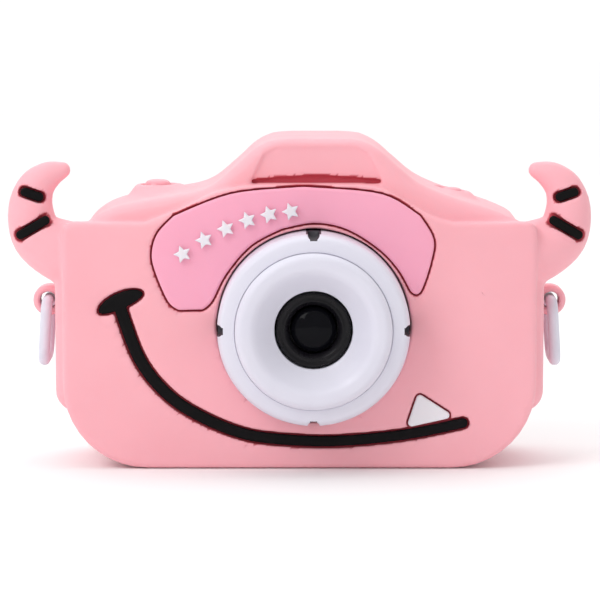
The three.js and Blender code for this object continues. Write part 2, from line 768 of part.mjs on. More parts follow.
function speaker() {
  return turned([
    [0, -8.8], [7.4, -8.8], [7.4, -6.4], [5, -5.8], [5, -4.6], [0, -4.6],
  ], 25.8, 19, 24);
}

function usbSocket() {
  const { x, y, width, thickness, wall, bottom, length } = usb;
  const half = { w: width / 2, t: thickness / 2 };
  const outer = box(x - half.w, x + half.w, y - half.t, y + half.t, bottom, bottom + length);
  const mouth = box(
    x - half.w + wall, x + half.w - wall, y - half.t + wall, y + half.t - wall,
    bottom - 1, bottom + length - 1,
  );
  const tongue = box(x - 2.4, x + 2.4, y - 0.35, y + 0.35, bottom + 0.8, bottom + length - 0.5);
  return join(cut(outer, mouth), tongue);
}

function cardSocket() {
  const { x, y, width, length, thickness, bottom } = card;
  const top = bottom + length + 1.2;
  const outer = box(x - 7, x + 7, y - 1.2, y + 1.2, 4.8, top + 0.6);
  const slot = box(
    x - width / 2 - GAP, x + width / 2 + GAP, y - thickness / 2 - 0.2, y + thickness / 2 + 0.2, 4, top,
  );
  return cut(outer, slot);
}

function memoryCard() {
  const { x, y, width, length, thickness, bottom } = card;
  const [left, right] = [x - width / 2, x + width / 2];
  const outline = new THREE.Shape(vectors([
    [left, bottom], [right, bottom], [right, bottom + length - 3], [right - 1.4, bottom + length - 1.6],
    [right - 1.4, bottom + length], [left, bottom + length],
  ]));
  return slab(outline, y - thickness / 2, y + thickness / 2);
}

// Flat strap loop: its top bar turns in the lug, and it leans a little outward as it hangs.
function strapRing(side) {
  const half = ring.halfWidth;
  const bar = ring.bar;
  const outer = roundedBox(-half, half, -ring.drop, bar / 2, 3.2);
  const inner = roundedBox(-half + bar, half - bar, -ring.drop + bar, -bar / 2, 1.8);
  outer.holes.push(new THREE.Path(inner.getPoints(2).reverse()));
  const geometry = new THREE.ExtrudeGeometry(outer, {
    depth: bar - 2 * ring.bevel,
    curveSegments: 2,
    bevelThickness: ring.bevel,
    bevelSize: ring.bevel,
    bevelOffset: -ring.bevel,
    bevelSegments: BEVEL_STEPS,
  });
  geometry.translate(0, 0, ring.bevel - bar / 2);
  const upright = new THREE.Matrix4().makeBasis(
    new THREE.Vector3(0, 1, 0), new THREE.Vector3(0, 0, 1), new THREE.Vector3(1, 0, 0),
  );
  geometry.applyMatrix4(upright);
  geometry.rotateY(-side * THREE.MathUtils.degToRad(ring.lean));
  geometry.translate(side * lug.x, 0, lug.z);
  return solid(geometry);
}

// ---------------------------------------------------------------- materials

const looks = {
  siliconePink: { color: 0xffb3be, roughness: 0.7, metalness: 0 },
  siliconeRose: { color: 0xff9fba, roughness: 0.65, metalness: 0 },
  siliconeBlack: { color: 0x141416, roughness: 0.6, metalness: 0 },
  siliconeWhite: { color: 0xfff6f8, roughness: 0.6, metalness: 0 },
  shellPink: { color: 0xf7a9b8, roughness: 0.35, metalness: 0 },
  whitePlastic: { color: 0xe4e2ee, roughness: 0.4, metalness: 0 },
  blackPlastic: { color: 0x0b0c0e, roughness: 0.25, metalness: 0 },
  clearGlass: { color: 0x1c2630, roughness: 0.05, metalness: 0 },
  circuitBoard: { color: 0x1f5b35, roughness: 0.5, metalness: 0 },
  steel: { color: 0xb9bcc0, roughness: 0.3, metalness: 1 },
  batteryFoil: { color: 0xaeb4ba, roughness: 0.35, metalness: 0.7 },
};

const camera = new THREE.Group();

function addPiece(name, body, look) {
  const material = new THREE.MeshStandardMaterial(looks[look]);
  const mesh = new THREE.Mesh(geometryOf(body), material);
  mesh.name = name;
  camera.add(mesh);
}

// ---------------------------------------------------------------- assembly

addPiece('silicone_cover', siliconeCover(), 'siliconePink');
addPiece('eyelid_panel', eyelidPanel(), 'siliconeRose');
addPiece('smile_inlay', smileInlay(), 'siliconeBlack');
addPiece('tooth_inlay', toothInlay(), 'siliconeWhite');
for (const [key, path] of Object.entries(stripePaths)) {
  const front = stripeFront[key];
  for (const [side, line] of [['left', path], ['right', mirrored(path)]]) {
    const body = hornStripeSolid(line, front, 0, stripe.thickness);
    addPiece(`horn_stripe_${side}_${key}`, body, 'siliconeBlack');
  }
}
for (let i = 0; i < star.count; i += 1) {
  addPiece(`eyelid_star_${i + 1}`, starSolid(i), 'siliconeWhite');
}

addPiece('front_shell', frontShell(), 'shellPink');
addPiece('rear_shell', rearShell(), 'shellPink');
bossPositions().forEach((place, i) => addPiece(`case_screw_${i + 1}`, caseScrew(place), 'steel'));

addPiece('lens_barrel', lensBarrel(), 'whitePlastic');
addPiece('lens_dish', lensDish(), 'whitePlastic');
addPiece('lens_hood', lensHood(), 'blackPlastic');
addPiece('lens_glass', lensGlass(), 'clearGlass');
addPiece('lens_cell', lensCell(), 'blackPlastic');
addPiece('rear_lens_element', rearLensElement(), 'clearGlass');
addPiece('image_sensor', boxAbout(lens.x, lens.z, 2.8, 2.8, -8.6, -7.8), 'blackPlastic');
addPiece('sensor_board', boxAbout(lens.x, lens.z, 8, 8, -7.5, -6.5), 'circuitBoard');

addPiece('screen_glass', screenGlass(), 'clearGlass');
addPiece('lcd_panel', lcdPanel(), 'blackPlastic');
addPiece('back_lens_glass', backLensGlass(), 'clearGlass');
addPiece('back_camera_module', boxAbout(backLens.x, backLens.z, 3.2, 3.2, 4.8, 10.2), 'blackPlastic');

addPiece('main_board', mainBoard(), 'circuitBoard');
addPiece('battery', battery(), 'batteryFoil');
addPiece('speaker', speaker(), 'blackPlastic');
addPiece('microphone', rod(2, -5, 8.5, board.front - 1.8, board.front - GAP, 14), 'steel');
addPiece('usb_socket', usbSocket(), 'steel');
addPiece('card_socket', cardSocket(), 'steel');
addPiece('memory_card', memoryCard(), 'blackPlastic');

addPiece('shutter_button', topButton(shutter), 'shellPink');
addPiece('power_button', topButton(power), 'shellPink');
addPiece('shutter_switch', topSwitch(shutter), 'blackPlastic');
addPiece('power_switch', topSwitch(power), 'blackPlastic');
for (const [name, place] of Object.entries(keyPositions())) {
  addPiece(name, rearKey(place), 'whitePlastic');
  addPiece(`${name}_switch`, rearSwitch(place), 'blackPlastic');
}

addPiece('strap_ring_left', strapRing(-1), 'whitePlastic');
addPiece('strap_ring_right', strapRing(1), 'whitePlastic');

export default camera;
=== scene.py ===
import json
import math

import bmesh
import bpy
import numpy as np
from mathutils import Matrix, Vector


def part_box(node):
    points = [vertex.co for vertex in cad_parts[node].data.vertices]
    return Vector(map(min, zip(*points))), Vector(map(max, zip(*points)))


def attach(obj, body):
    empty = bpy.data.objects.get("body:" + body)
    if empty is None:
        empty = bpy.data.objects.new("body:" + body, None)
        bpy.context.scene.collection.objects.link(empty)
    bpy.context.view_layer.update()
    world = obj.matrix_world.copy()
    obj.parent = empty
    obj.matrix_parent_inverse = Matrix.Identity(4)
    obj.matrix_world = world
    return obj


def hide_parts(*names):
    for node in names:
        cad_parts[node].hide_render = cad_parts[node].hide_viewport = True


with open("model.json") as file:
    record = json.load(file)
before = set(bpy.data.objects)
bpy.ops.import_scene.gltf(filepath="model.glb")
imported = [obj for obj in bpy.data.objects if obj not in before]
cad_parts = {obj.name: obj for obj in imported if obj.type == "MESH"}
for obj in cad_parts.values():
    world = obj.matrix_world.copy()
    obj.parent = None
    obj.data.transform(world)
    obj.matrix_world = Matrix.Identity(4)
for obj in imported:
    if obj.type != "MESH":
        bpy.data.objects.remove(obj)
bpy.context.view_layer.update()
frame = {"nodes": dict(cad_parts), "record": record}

import openvdb
from mathutils import Matrix, Vector

# Children's camera in a soft silicone cover. Everything below is drawn in millimetres in the row frame
# (+X right, lens along -Y, +Z up) and stored in metres.
MM = 0.001
BODY = "camera"


def box_mm(node):
    low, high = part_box(node)
    return np.array(low) / MM, np.array(high) / MM


# ---------------------------------------------------------------- driving dimensions

COVER_VOXEL = 0.36
LOW, HIGH = box_mm("silicone_cover")
PLATE_FRONT = LOW[1]
PLATE_BACK = PLATE_FRONT + 4
BODY_FRONT = PLATE_FRONT + 2
COVER_BACK = HIGH[1]
CAVITY_BACK = 12.5
TOP = HIGH[2]
WALL = 2.5
GAP = 0.3  # assembly gap between neighbouring pieces
RECESS = 1.2  # how deep the inlays sit in the plate
HALF_PLATE, HALF_BODY = 44, 41.5
PLATE_TOP, PLATE_TOP_RADIUS = 46, 2
CORNER = 15.7
HUMP_MIDDLE = 3.1
HUMP_PANEL_DEPTH, HUMP_SLOT_DEPTH = 0.7, 1.4
FLANK = {"inner": 34, "outer": 45.7, "bottom": 9.9, "top": 40, "corner": 4.1, "front": -12, "back": 10}
LUG = {"radius": 2.9, "half_depth": 2.4, "half_neck": 1.8, "hole": 1.6, "root": 40}
RING = {"wire": 1.06, "half_width": 7.2, "drop": 12.2, "corner": 2.4, "lean": 3.5}
WINDOW = {"half_width": 36.5, "bottom": 5, "top": 43.7, "corner": 8}
PORT_LOW, PORT_HIGH = (3.2, -1.6, -2), (27.2, 5.8, WALL + 0.5)
BACK_LENS_HOLE = 4.4
# Each top button: its mound on the cover, the blend round it, how far the cap stands over the mound's
# rim, the hole in the cover, and how much wider the flange is than the cap.
BUTTONS = {
    "shutter_button": {"mound": 4.4, "blend": 4, "proud": 1.4, "hole": 3.1, "flange": 0.6},
    "power_button": {"mound": 3.8, "blend": 3, "proud": 0.8, "hole": 2.9, "flange": 0.7},
}
KEY_RADIUS, KEY_FLANGE = 2.9, 3.5
KEYWAY = {"count": 4, "radius": 1.1, "length": 8}
STARS = {"count": 6, "points": 5, "outer": 1.75, "inner": 0.85, "turn": 0.35}

lens_low, lens_high = box_mm("lens_barrel")
LENS_X, LENS_Z = (lens_low[0] + lens_high[0]) / 2, (lens_low[2] + lens_high[2]) / 2
LENS_RADIUS = (lens_high[0] - lens_low[0]) / 2
LENS_FRONT = lens_low[1]
back_low, back_high = box_mm("back_lens_glass")
BACK_LENS = ((back_low[0] + back_high[0]) / 2, (back_low[2] + back_high[2]) / 2)


# ---------------------------------------------------------------- outlines

def spline(points, steps=6):
    """Points along a smooth curve through the given ones, both ends included."""
    p = np.array(points, float)
    p = np.vstack([p[0], p, p[-1]])
    out = []
    for i in range(1, len(p) - 2):
        a, b, c, d = p[i - 1], p[i], p[i + 1], p[i + 2]
        for k in range(steps):
            t = k / steps
            out.append(0.5 * (2 * b + (c - a) * t + (2 * a - 5 * b + 4 * c - d) * t * t
                              + (3 * b - a - 3 * c + d) * t ** 3))
    return out + [p[-2]]


def arc(x, z, radius, start, end, steps=10):
    angles = np.radians(np.linspace(start, end, steps + 1))
    return [(x + radius * math.cos(a), z + radius * math.sin(a)) for a in angles]


def plate_outline():
    points = arc(HALF_PLATE - CORNER, CORNER, CORNER, -90, 0)
    points += arc(HALF_PLATE - PLATE_TOP_RADIUS, PLATE_TOP - PLATE_TOP_RADIUS, PLATE_TOP_RADIUS, 0, 90, 4)
    points += spline([(28.5, PLATE_TOP), (24.4, 47.3), (17.7, 51.1), (14.2, 52.7), (8.4, 53.7), (-5, 53.7)])
    points += spline([(-5, 53.7), (-8.8, 53), (-15.6, 51.6), (-21.3, 48.8),
                      (-28.5, PLATE_TOP)])[1:]
    points += arc(-HALF_PLATE + PLATE_TOP_RADIUS, PLATE_TOP - PLATE_TOP_RADIUS, PLATE_TOP_RADIUS, 90, 180, 4)
    points += arc(-HALF_PLATE + CORNER, CORNER, CORNER, 180, 270)
    return points


def body_outline():
    m = HUMP_MIDDLE
    radius = CORNER - HALF_PLATE + HALF_BODY
    points = arc(HALF_BODY - radius, radius, radius, -90, 0)
    points += spline([(HALF_BODY, 43), (HALF_BODY - 0.9, 45.7), (36, 48), (28.5, 50.4), (22.3, 53),
                      (18.3, 56.2), (m + 11.6, 59.3), (m + 8.4, TOP - 0.4), (m + 5, TOP)])
    points += spline([(m - 5, TOP), (m - 8.4, TOP - 0.4), (m - 11.6, 59.3), (2 * m - 18.3, 56),
                      (-17.5, 52), (-26, 50.3), (-34, 48.7), (-38.6, 46.3), (-HALF_BODY, 42.5)])
    points += arc(-HALF_BODY + radius, radius, radius, 180, 270)
    return points


def core_outline():
    """Straight-sided inside of the body outline, at the wall's thickness."""
    m = HUMP_MIDDLE
    radius = CORNER - HALF_PLATE + HALF_BODY - WALL
    half = HALF_BODY - WALL
    points = arc(half - radius, radius + WALL, radius, -90, 0)
    points += [(half, 42.5), (36, 45.1), (21.2, 50.1), (m + 10.4, 57.3), (m + 7.3, TOP - WALL)]
    points += [(m - 7.3, TOP - WALL), (m - 10.4, 57.3), (-15.6, 49.6), (-34.6, 45.4), (-half, 42.2)]
    points += arc(-half + radius, radius + WALL, radius, 180, 270)
    return points


def hump_panel_outline():
    m = HUMP_MIDDLE
    return [(m - 12, 53.2), (m + 12, 53.2), (m + 9.5, 58.4), (m + 7.4, 59.6),
            (m - 7.4, 59.6), (m - 9.5, 58.4)]


def hump_slot_outline():
    m = HUMP_MIDDLE
    return [(m - 12, 53), (m + 12, 53)] + spline([(m + 12, 53.7), (m, 54.5), (m - 12, 53.7)])


def eyelid_outline():
    return (
        spline([(-22.4, 29.7), (-24.4, 31.4), (-26.8, 37.1), (-27.3, 40.5), (-26.2, 44), (-23.2, 47.2)])
        + spline([(-23.2, 47.2), (-12.9, 51.2), (-1.8, 52.4), (3.4, 52.4), (15.3, 51.2), (22.3, 47.2)])[1:]
        + spline([(22.3, 47.2), (24.8, 42.9), (24.3, 38.5), (22.7, 33.6), (21.6, 32.6), (20.6, 33.2)])[1:]
        + spline([(20.6, 33.2), (18.2, 37.4), (14.4, 41.3), (8.6, 44.8), (2.7, 45.9), (-3.3, 44.8)])[1:]
        + spline([(-3.3, 44.8), (-9, 41.7), (-13.6, 36.4), (-16.2, 31.4), (-17.9, 29.8)])[1:]
    )


SMILE = spline([(-33.5, 30.9), (-30.5, 22.2), (-27.4, 17), (-23, 12.6), (-17.3, 9.2), (-10.8, 6.6),
                (-4.3, 5.5), (6.6, 5.1), (19.5, 6.3), (30.4, 8.5)], 4)
SMILE_START, SMILE_END = 1.15, 0.95  # half-widths of the line
DIMPLE = {"centre": (-33.1, 31), "long": 4.5, "high": 1.9, "low": 1.1, "tilt": 24}
TOOTH = [(20.9, 8.6), (27.2, 10), (22.4, 13.1)]
TOOTH_RADIUS = 0.7
# Each stripe on the left horn: its two ends as (x, z), and the depth of its front face.
STRIPES = {"upper": ((-51, 51.3), (-48.4, 50.4), -11.2), "lower": ((-51.8, 43.4), (-47.2, 46.1), -12.1)}
STRIPE_RADIUS = 0.85
STRIPE_FLOOR = 1.5
# The left horn's centreline as (x, z, radius).
LEFT_HORN = [(-39.8, 39.2, 6.1), (-44, 39.9, 5.9), (-48.8, 42.7, 4.9), (-50.2, 47.5, 4.25),
             (-49.4, 51.6, 3.5), (-47, 54.1, 2.6), (-44.2, 55.2, 1.5)]
HORN_Y = -8


def dimple_outline():
    tilt = math.radians(DIMPLE["tilt"])
    points = []
    for angle in np.linspace(0, 2 * math.pi, 32, endpoint=False):
        x = DIMPLE["long"] * math.cos(angle)
        z = (DIMPLE["high"] if angle < math.pi else DIMPLE["low"]) * math.sin(angle)
        points.append((DIMPLE["centre"][0] + x * math.cos(tilt) - z * math.sin(tilt),
                       DIMPLE["centre"][1] + x * math.sin(tilt) + z * math.cos(tilt)))
    return points


# ---------------------------------------------------------------- distance shapes

def polygon_distance(points, x, z):
    """Signed distance to a closed outline, negative inside, for broadcast x and z."""
    x, z = np.broadcast_arrays(x, z)
    nearest = np.full(x.shape, 1e9)
    inside = np.zeros(x.shape, bool)
    count = len(points)
    for i in range(count):
        (ax, az), (bx, bz) = points[i], points[(i + 1) % count]
        ex, ez = bx - ax, bz - az
        length = ex * ex + ez * ez
        if length < 1e-12:
            continue
        t = np.clip(((x - ax) * ex + (z - az) * ez) / length, 0, 1)
        nearest = np.minimum(nearest, (x - ax - t * ex) ** 2 + (z - az - t * ez) ** 2)
        crosses = (az > z) != (bz > z)
        if az != bz:
            inside ^= crosses & (x < ex * (z - az) / (bz - az) + ax)
    return np.where(inside, -1, 1) * np.sqrt(nearest)


def thick(flat, across, edge):
    """A flat distance and a distance across it as one solid with its edges rounded by edge."""
    a, b = flat + edge, across + edge
    return np.minimum(np.maximum(a, b), 0) + np.hypot(np.maximum(a, 0), np.maximum(b, 0)) - edge


def slab(outline, y0, y1, edge=0.2, grow=0):
    points = [tuple(map(float, p)) for p in outline]
    low = np.min(points, axis=0) - grow
    high = np.max(points, axis=0) + grow

    def distance(x, y, z):
        return thick(polygon_distance(points, x, z) - grow, np.abs(y - (y0 + y1) / 2) - (y1 - y0) / 2, edge)

    return (low[0], y0, low[1]), (high[0], y1, high[1]), distance


def rod_y(cx, cz, radius, y0, y1, edge=0.2):
    def distance(x, y, z):
        return thick(np.hypot(x - cx, z - cz) - radius, np.abs(y - (y0 + y1) / 2) - (y1 - y0) / 2, edge)

    return (cx - radius, y0, cz - radius), (cx + radius, y1, cz + radius), distance


def rod_z(cx, cy, radius, z0, z1, edge=0.2):
    def distance(x, y, z):
        return thick(np.hypot(x - cx, y - cy) - radius, np.abs(z - (z0 + z1) / 2) - (z1 - z0) / 2, edge)

    return (cx - radius, cy - radius, z0), (cx + radius, cy + radius, z1), distance


def block(low, high, edge):
    low, high = np.array(low, float), np.array(high, float)
    middle, half = (low + high) / 2, (high - low) / 2 - edge

    def distance(x, y, z):
        dx, dy, dz = (np.abs(v - m) - h for v, m, h in zip((x, y, z), middle, half))
        outside = np.sqrt(np.maximum(dx, 0) ** 2 + np.maximum(dy, 0) ** 2 + np.maximum(dz, 0) ** 2)
        return outside + np.minimum(np.maximum(np.maximum(dx, dy), dz), 0) - edge

    return low, high, distance


def band(points, start, end, y0, y1, edge=0.2, grow=0):
    """A flat band along a line, whose half-width runs from start to end."""
    p = np.array(points, float)
    widths = np.linspace(start, end, len(p)) + grow
    low = p.min(0) - widths.max()
    high = p.max(0) + widths.max()

    def distance(x, y, z):
        x2, z2 = np.broadcast_arrays(x, z)
        flat = np.full(x2.shape, 1e9)
        for (ax, az), (bx, bz), wa, wb in zip(p[:-1], p[1:], widths[:-1], widths[1:]):
            ex, ez = bx - ax, bz - az
            t = np.clip(((x2 - ax) * ex + (z2 - az) * ez) / (ex * ex + ez * ez), 0, 1)
            flat = np.minimum(flat, np.hypot(x2 - ax - t * ex, z2 - az - t * ez) - (wa + (wb - wa) * t))
        return thick(flat, np.abs(y - (y0 + y1) / 2) - (y1 - y0) / 2, edge)

    return (low[0], y0, low[1]), (high[0], y1, high[1]), distance


def tapered(stations, y0):
    """A round horn along (x, z, radius) stations."""
    p = np.array(spline(stations, 5))
    reach = p[:, 2].max()

    def distance(x, y, z):
        nearest = np.full(np.broadcast_shapes(x.shape, y.shape, z.shape), 1e9)
        for a, b in zip(p[:-1], p[1:]):
            ex, ez = b[0] - a[0], b[1] - a[1]
            t = np.clip(((x - a[0]) * ex + (z - a[1]) * ez) / (ex * ex + ez * ez), 0, 1)
            gap = np.sqrt((x - a[0] - t * ex) ** 2 + (y - y0) ** 2 + (z - a[1] - t * ez) ** 2)
            nearest = np.minimum(nearest, gap - (a[2] + (b[2] - a[2]) * t))
        return nearest

    low = (p[:, 0].min() - reach, y0 - reach, p[:, 1].min() - reach)
    high = (p[:, 0].max() + reach, y0 + reach, p[:, 1].max() + reach)
    return low, high, distance


def mirrored(shape):
    low, high, distance = shape
    return (-high[0], low[1], low[2]), (-low[0], high[1], high[2]), lambda x, y, z: distance(-x, y, z)


class Clay:
    """A solid kept as distances on a regular grid, that shapes are added to and cut from."""

    def __init__(self, low, high, voxel):
        margin = 3 * voxel
        self.voxel = voxel
        self.low = np.array(low, float) - margin
        size = np.ceil((np.array(high, float) + margin - self.low) / voxel).astype(int) + 1
        self.field = np.full(size, 4 * voxel, np.float32)
        self.axes = [self.low[i] + voxel * np.arange(size[i]) for i in range(3)]

    def window(self, low, high, margin):
        pick = []
        for i in range(3):
            first = np.searchsorted(self.axes[i], low[i] - margin)
            last = np.searchsorted(self.axes[i], high[i] + margin)
            pick.append(slice(first, last))
        x, y, z = (self.axes[i][pick[i]] for i in range(3))
        return tuple(pick), x[:, None, None], y[None, :, None], z[None, None, :]

    def add(self, shape, blend=0.0):
        low, high, distance = shape
        pick, x, y, z = self.window(low, high, 4 * self.voxel + 2 * blend)
        old, new = self.field[pick], distance(x, y, z)
        self.field[pick] = smooth_min(old, new, blend)
        return self

    def cut(self, shape, blend=0.0):
        low, high, distance = shape
        pick, x, y, z = self.window(low, high, 4 * self.voxel + 2 * blend)
        old, new = self.field[pick], distance(x, y, z)
        self.field[pick] = -smooth_min(-old, new, blend)
        return self

    def mesh(self, name, adaptivity=0.0):
        reach = 3 * self.voxel
        grid = openvdb.FloatGrid(reach)
        grid.transform = openvdb.createLinearTransform(self.voxel)
        grid.copyFromArray(np.clip(self.field, -reach, reach).astype(np.float32))
        points, triangles, quads = grid.convertToPolygons(0.0, adaptivity)
        points = (points + self.low) * MM
        faces = [list(map(int, f[::-1])) for f in quads] + [list(map(int, f[::-1])) for f in triangles]
        mesh = bpy.data.meshes.new(name)
        mesh.from_pydata(points.tolist(), [], faces)
        mesh.validate()
        make_outward(mesh)
        mesh.polygons.foreach_set("use_smooth", [True] * len(mesh.polygons))
        return mesh


def smooth_min(a, b, blend):
    if blend <= 0:
        return np.minimum(a, b)
    h = np.clip(0.5 + 0.5 * (b - a) / blend, 0, 1)
    return b + (a - b) * h - blend * h * (1 - h)


def make_outward(mesh):
    bm = bmesh.new()
    bm.from_mesh(mesh)
    if bm.calc_volume(signed=True) < 0:
        bmesh.ops.reverse_faces(bm, faces=bm.faces)
    bm.to_mesh(mesh)
    bm.free()


# ---------------------------------------------------------------- piece helpers

def place(mesh, name, material, body, nodes):
    piece = bpy.data.objects.new(name, mesh)
    bpy.context.scene.collection.objects.link(piece)
    mesh.materials.clear()
    mesh.materials.append(material)
    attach(piece, body)
    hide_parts(*nodes)
    return piece


def soften(piece, factor=0.5, rounds=2):
    relax = piece.modifiers.new("soften", "SMOOTH")
    relax.factor = factor
    relax.iterations = rounds
    return piece


def rounded(profile, steps=4):
    """A closed or open profile of (radius, along, fillet) with each marked corner rounded."""
    out = []
    for i, (r, y, fillet) in enumerate(profile):
        here = np.array((r, y), float)
        if fillet <= 0 or i in (0, len(profile) - 1):
            out.append(tuple(here))
            continue
        before = np.array(profile[i - 1][:2], float) - here
        after = np.array(profile[i + 1][:2], float) - here
        reach = min(fillet, 0.45 * np.linalg.norm(before), 0.45 * np.linalg.norm(after))
        start = here + before / np.linalg.norm(before) * reach
        end = here + after / np.linalg.norm(after) * reach
        for k in range(steps + 1):
            t = k / steps
            out.append(tuple((1 - t) ** 2 * start + 2 * t * (1 - t) * here + t * t * end))
    return out


def lathe(name, profile, centre, axis="Y", sides=128):
    """Turns a profile of (radius, along, fillet) about an axis; a first and last radius of 0 closes it."""
    points = rounded(profile)
    closed = points[0][0] > 0
    bm = bmesh.new()
    rings = []
    for radius, along in points[:-1] if closed else points:
        if radius < 1e-6:
            ring = [bm.verts.new(turn_point(0, 0, along, centre, axis))]
        else:
            ring = [bm.verts.new(turn_point(radius, 2 * math.pi * k / sides, along, centre, axis))
                    for k in range(sides)]
        rings.append(ring)
    pairs = list(zip(rings[:-1], rings[1:])) + ([(rings[-1], rings[0])] if closed else [])
    for a, b in pairs:
        for k in range(sides):
            n = (k + 1) % sides
            corners = [a[k % len(a)], a[n % len(a)], b[n % len(b)], b[k % len(b)]]
            unique = list(dict.fromkeys(corners))
            if len(unique) > 2:
                bm.faces.new(unique)
    bmesh.ops.recalc_face_normals(bm, faces=bm.faces)
    mesh = bpy.data.meshes.new(name)
    for face in bm.faces:
        face.smooth = True
    bm.to_mesh(mesh)
    bm.free()
    make_outward(mesh)
    return mesh


def turn_point(radius, angle, along, centre, axis):
    u, v = radius * math.cos(angle), radius * math.sin(angle)
    if axis == "Y":
        return Vector((centre[0] + u, along, centre[1] + v)) * MM
    return Vector((centre[0] + u, centre[1] + v, along)) * MM


def sharpen(mesh, degrees=35):
    mesh.set_sharp_from_angle(angle=math.radians(degrees))
    return mesh


# ---------------------------------------------------------------- materials

def new_material(name, colour, roughness, **sockets):
    material = bpy.data.materials.new(name)
    material.use_nodes = True
    shader = material.node_tree.nodes["Principled BSDF"]
    shader.inputs["Base Color"].default_value = (*colour, 1)
    shader.inputs["Roughness"].default_value = roughness
    for key, value in sockets.items():
        shader.inputs[key.replace("_", " ")].default_value = value
    return material


def add_noise(material, scale, detail=4.0):
    tree = material.node_tree
    coordinates = tree.nodes.new("ShaderNodeTexCoord")
    noise = tree.nodes.new("ShaderNodeTexNoise")
    noise.inputs["Scale"].default_value = scale
    noise.inputs["Detail"].default_value = detail
    tree.links.new(coordinates.outputs["Object"], noise.inputs["Vector"])
    return noise


def vary_colour(material, light, dark, scale):
    """Slow change of tint over the surface."""
    tree = material.node_tree
    shader = tree.nodes["Principled BSDF"]
    noise = add_noise(material, scale)
    ramp = tree.nodes.new("ShaderNodeValToRGB")
    ramp.color_ramp.elements[0].position = 0.3
    ramp.color_ramp.elements[0].color = (*dark, 1)
    ramp.color_ramp.elements[1].position = 0.7
    ramp.color_ramp.elements[1].color = (*light, 1)
    tree.links.new(noise.outputs["Fac"], ramp.inputs["Fac"])
    tree.links.new(ramp.outputs["Color"], shader.inputs["Base Color"])


def vary_roughness(material, low, high, scale):
    tree = material.node_tree
    shader = tree.nodes["Principled BSDF"]
    noise = add_noise(material, scale, 6.0)
    span = tree.nodes.new("ShaderNodeMapRange")
    span.inputs["From Min"].default_value = 0.3
    span.inputs["From Max"].default_value = 0.7
    span.inputs["To Min"].default_value = low
    span.inputs["To Max"].default_value = high
    tree.links.new(noise.outputs["Fac"], span.inputs["Value"])
    tree.links.new(span.outputs["Result"], shader.inputs["Roughness"])


def add_bump(material, scale, distance, strength=0.3):
    tree = material.node_tree
    shader = tree.nodes["Principled BSDF"]
    noise = add_noise(material, scale, 5.0)
    bump = tree.nodes.new("ShaderNodeBump")
    bump.inputs["Distance"].default_value = distance
    bump.inputs["Strength"].default_value = strength
    tree.links.new(noise.outputs["Fac"], bump.inputs["Height"])
    tree.links.new(bump.outputs["Normal"], shader.inputs["Normal"])


def paint_groove_shade(material, colour):
    """Paints shade into narrow grooves and keyways: mixes the base colour toward the given shade colour
    where the mask attribute is 1.
    """
    tree = material.node_tree
    base = tree.nodes["Principled BSDF"].inputs["Base Color"]
    open_skin = base.links[0].from_socket
    mask = tree.nodes.new("ShaderNodeAttribute")
    mask.attribute_name = "painted_shade"
    mix = tree.nodes.new("ShaderNodeMix")
    mix.data_type = "RGBA"
    mix.inputs["B"].default_value = (*colour, 1)
    tree.links.new(mask.outputs["Fac"], mix.inputs["Factor"])
    tree.links.new(open_skin, mix.inputs["A"])
    tree.links.new(mix.outputs["Result"], base)


def silicone(name, light, dark, roughness=0.55, sheen=0.12, specular=0.3):
    """Moulded silicone: a fine powdery grain, a soft sheen and a little light under the skin."""
    material = new_material(
        name, light, roughness, Subsurface_Weight=0.12, Subsurface_Radius=(1.0, 0.35, 0.3),
        Subsurface_Scale=0.0015, Sheen_Weight=sheen, Sheen_Roughness=0.5, Specular_IOR_Level=specular,
    )
    vary_colour(material, light, dark, 55)
    vary_roughness(material, roughness - 0.06, roughness + 0.08, 260)
    add_bump(material, 5200, 0.00006, 0.25)
    return material


def plastic(name, light, dark, roughness, grain=0.12, specular=0.5):
    """Moulded ABS: satin skin with a fine spark-eroded grain and faint handling marks."""
    material = new_material(name, light, roughness, Specular_IOR_Level=specular)
    vary_colour(material, light, dark, 70)
    vary_roughness(material, max(roughness - 0.08, 0.03), roughness + 0.1, 420)
    add_bump(material, 3800, 0.00004, grain)
    return material


def metal(name, colour, roughness):
    material = new_material(name, colour, roughness, Metallic=1.0)
    vary_colour(material, colour, tuple(c * 0.8 for c in colour), 300)
    vary_roughness(material, roughness - 0.08, roughness + 0.15, 900)
    add_bump(material, 2600, 0.00002, 0.2)
    return material


def board_material():
    """Solder mask over copper tracks."""
    material = new_material("circuit_board", (0.02, 0.16, 0.07), 0.35, Coat_Weight=0.4)
    tree = material.node_tree
    shader = tree.nodes["Principled BSDF"]
    coordinates = tree.nodes.new("ShaderNodeTexCoord")
    bricks = tree.nodes.new("ShaderNodeTexBrick")
    bricks.inputs["Color1"].default_value = (0.015, 0.15, 0.06, 1)
    bricks.inputs["Color2"].default_value = (0.02, 0.2, 0.08, 1)
    bricks.inputs["Mortar"].default_value = (0.06, 0.3, 0.12, 1)
    bricks.inputs["Scale"].default_value = 420
    bricks.inputs["Mortar Size"].default_value = 0.03
    tree.links.new(coordinates.outputs["Object"], bricks.inputs["Vector"])
    tree.links.new(bricks.outputs["Color"], shader.inputs["Base Color"])
    vary_roughness(material, 0.28, 0.45, 500)
    add_bump(material, 1500, 0.00004, 0.3)
    return material


def glass(name, colour, transmission, roughness=0.02):
    material = new_material(
        name, colour, roughness, Transmission_Weight=transmission, IOR=1.3, Specular_IOR_Level=0.1,
    )
    vary_roughness(material, roughness, roughness + 0.03, 180)
    add_bump(material, 900, 0.000004, 0.1)
    return material


